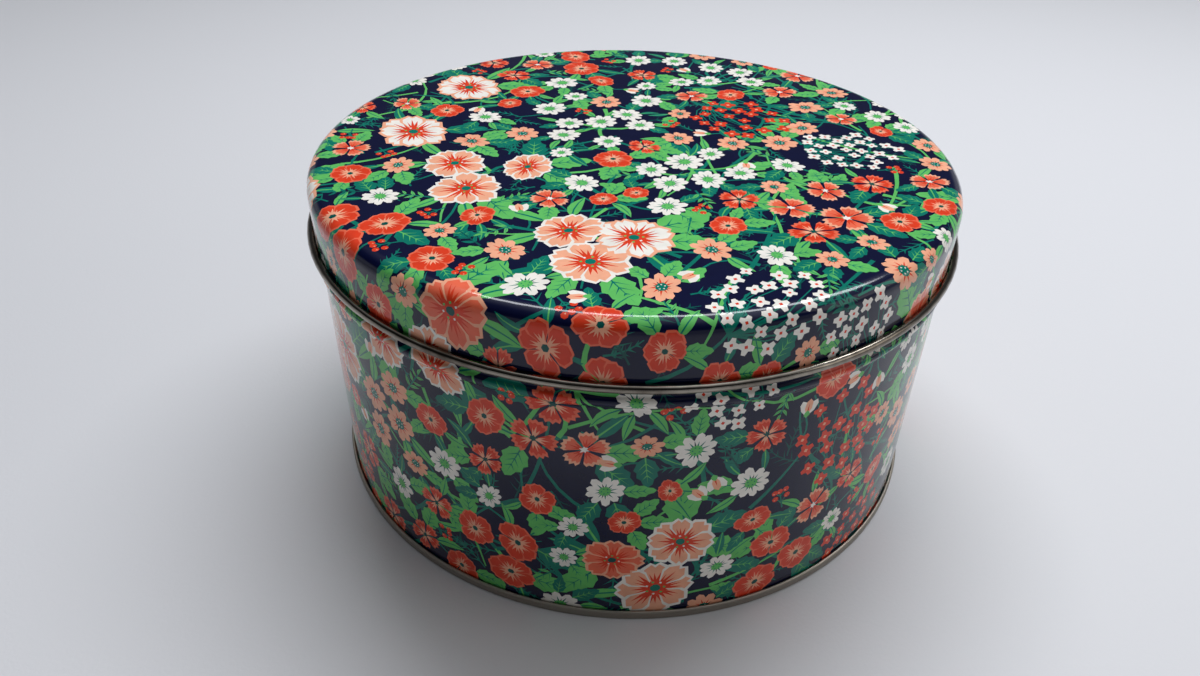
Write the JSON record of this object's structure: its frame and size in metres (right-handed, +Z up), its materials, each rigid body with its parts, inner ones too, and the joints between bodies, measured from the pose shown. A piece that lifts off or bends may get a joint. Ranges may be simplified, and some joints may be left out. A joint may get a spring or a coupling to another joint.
{
  "type": "round tin box",
  "caption": "Round slip-lid tin box: a drawn lid with a rolled edge lifts off a rolled body that has a stop bead, a mouth roll and a double-seamed bottom end.",
  "frame": {"origin": "centre of the ring that the tin stands on, on the table", "axes": "+Z up along the tin's axis; the side seam faces +Y, the back, and the pictured side faces -Y"},
  "size_m": [0.1942, 0.1942, 0.0984],
  "materials": {
    "printed_lid": "litho print of flowers on navy under gloss varnish",
    "printed_body": "litho print of flowers on navy under gloss varnish",
    "bare_tinplate": "bare tinplate, dulled with age"
  },
  "bodies": {
    "tin": {"tin_body": "printed_body", "base_end": "bare_tinplate"},
    "lid": {"lid": "printed_lid"}
  },
  "joints": [
    {"name": "lid_lift", "type": "slide", "parent": "tin", "child": "lid", "axis": [0, 0, 1], "range_m": [0, 0.06]}
  ]
}
